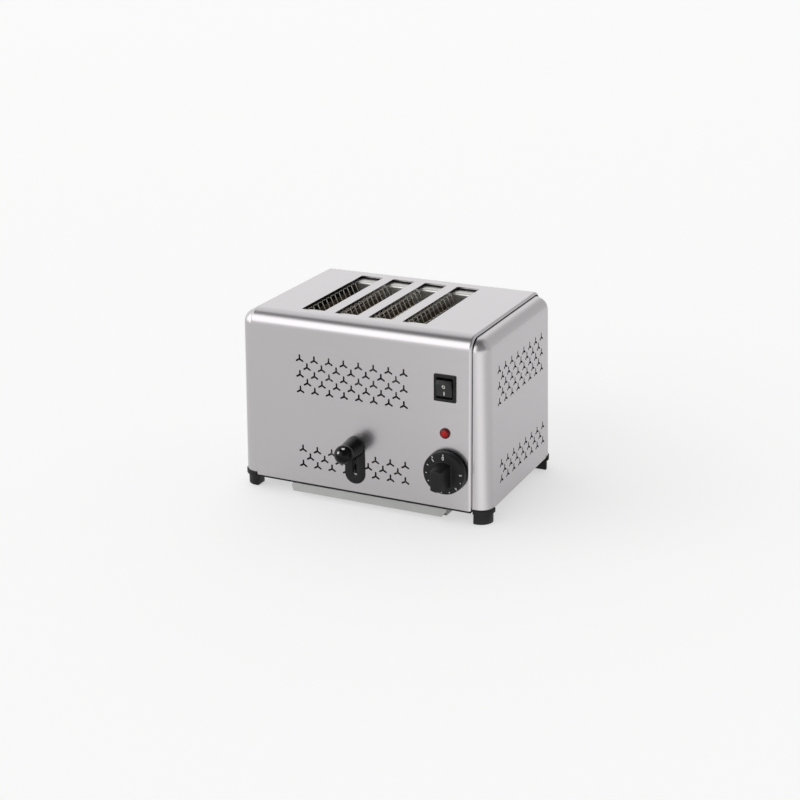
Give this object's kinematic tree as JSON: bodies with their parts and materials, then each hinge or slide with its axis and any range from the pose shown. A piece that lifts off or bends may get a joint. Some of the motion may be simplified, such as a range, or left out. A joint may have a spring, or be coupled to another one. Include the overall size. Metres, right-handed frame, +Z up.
{
  "type": "counter toaster",
  "caption": "Stainless counter toaster with a bent cover and rounded end caps, long bread slots, a push-down lever, timer knob, rocker switch and slide-out crumb tray.",
  "frame": {"origin": "on the table plane under the middle of the bounding box, lever ball and cord gland included", "axes": "+X to the right as seen from the front, +Y to the back, +Z up; the front face looks to -Y"},
  "size_m": [0.3196, 0.2524, 0.221],
  "materials": {
    "brushed_stainless": "fine brushed stainless sheet",
    "zinc_steel": "plain zinc-coated sheet",
    "bright_steel": "drawn and plated steel",
    "black_paint": "satin black",
    "black_plastic": "satin moulded",
    "black_gloss": "polished moulded",
    "red_lens": "clear red",
    "mica": "pressed mica sheet",
    "resistance_ribbon": "oxidised resistance alloy",
    "copper": "enamelled copper",
    "brass": "plain",
    "ceramic": "glazed"
  },
  "bodies": {
    "chassis": {"outer_cover": "brushed_stainless", "left_end_cap": "brushed_stainless", "right_end_cap": "brushed_stainless", "rear_panel": "brushed_stainless", "rear_screws": "bright_steel", "base_plate": "black_paint", "base_screws": "bright_steel", "foot_front_left": "black_plastic", "foot_front_right": "black_plastic", "foot_rear_left": "black_plastic", "foot_rear_right": "black_plastic", "foot_screws": "bright_steel", "front_bulkhead": "zinc_steel", "rear_bulkhead": "zinc_steel", "heat_shield_left": "zinc_steel", "heat_shield_right": "zinc_steel", "mica_board_1": "mica", "mica_board_2": "mica", "mica_board_3": "mica", "mica_board_4": "mica", "mica_board_5": "mica", "heater_winding_1": "resistance_ribbon", "heater_winding_2": "resistance_ribbon", "heater_winding_3": "resistance_ribbon", "heater_winding_4": "resistance_ribbon", "heater_winding_5": "resistance_ribbon", "wire_guards_1": "bright_steel", "wire_guards_2": "bright_steel", "wire_guards_3": "bright_steel", "wire_guards_4": "bright_steel", "guide_rods": "bright_steel", "rod_bracket": "zinc_steel", "lift_springs": "bright_steel", "lever_plate": "black_plastic", "magnet_core": "zinc_steel", "magnet_coil": "copper", "switch_housing": "black_plastic", "lamp_lens": "red_lens", "lamp_body": "black_plastic", "timer_body": "zinc_steel", "timer_screws": "bright_steel", "terminal_block": "ceramic", "bus_bars": "brass", "cord_gland": "black_plastic", "tray_rails": "zinc_steel"},
    "carriage": {"lift_plate": "zinc_steel", "lever_arm": "zinc_steel", "lever_knob": "black_gloss", "bread_rack_1": "bright_steel", "bread_rack_2": "bright_steel", "bread_rack_3": "bright_steel", "bread_rack_4": "bright_steel", "slider_bushes": "brass", "armature_plate": "zinc_steel"},
    "timer_dial": {"timer_knob": "black_plastic", "timer_shaft": "bright_steel"},
    "switch_rocker": {"rocker": "black_plastic"},
    "tray": {"crumb_tray": "brushed_stainless"}
  },
  "joints": [
    {"name": "carriage_slide", "type": "slide", "parent": "chassis", "child": "carriage", "axis": [0, 0, -1], "range_m": [0, 0.0295], "stiffness_N_per_m": 120, "springref_m": -0.06, "deforming": ["lift_springs"]},
    {"name": "timer_turn", "type": "hinge", "parent": "chassis", "child": "timer_dial", "pos_m": [0.1088, -0.08775, 0.0617], "axis": [0, 1, 0], "range_deg": [0, 260]},
    {"name": "rocker_tilt", "type": "hinge", "parent": "chassis", "child": "switch_rocker", "pos_m": [0.107, -0.08375, 0.1595], "axis": [-1, 0, 0], "range_deg": [0, 20]},
    {"name": "tray_slide", "type": "slide", "parent": "chassis", "child": "tray", "axis": [0, -1, 0], "range_m": [0, 0.17]}
  ]
}
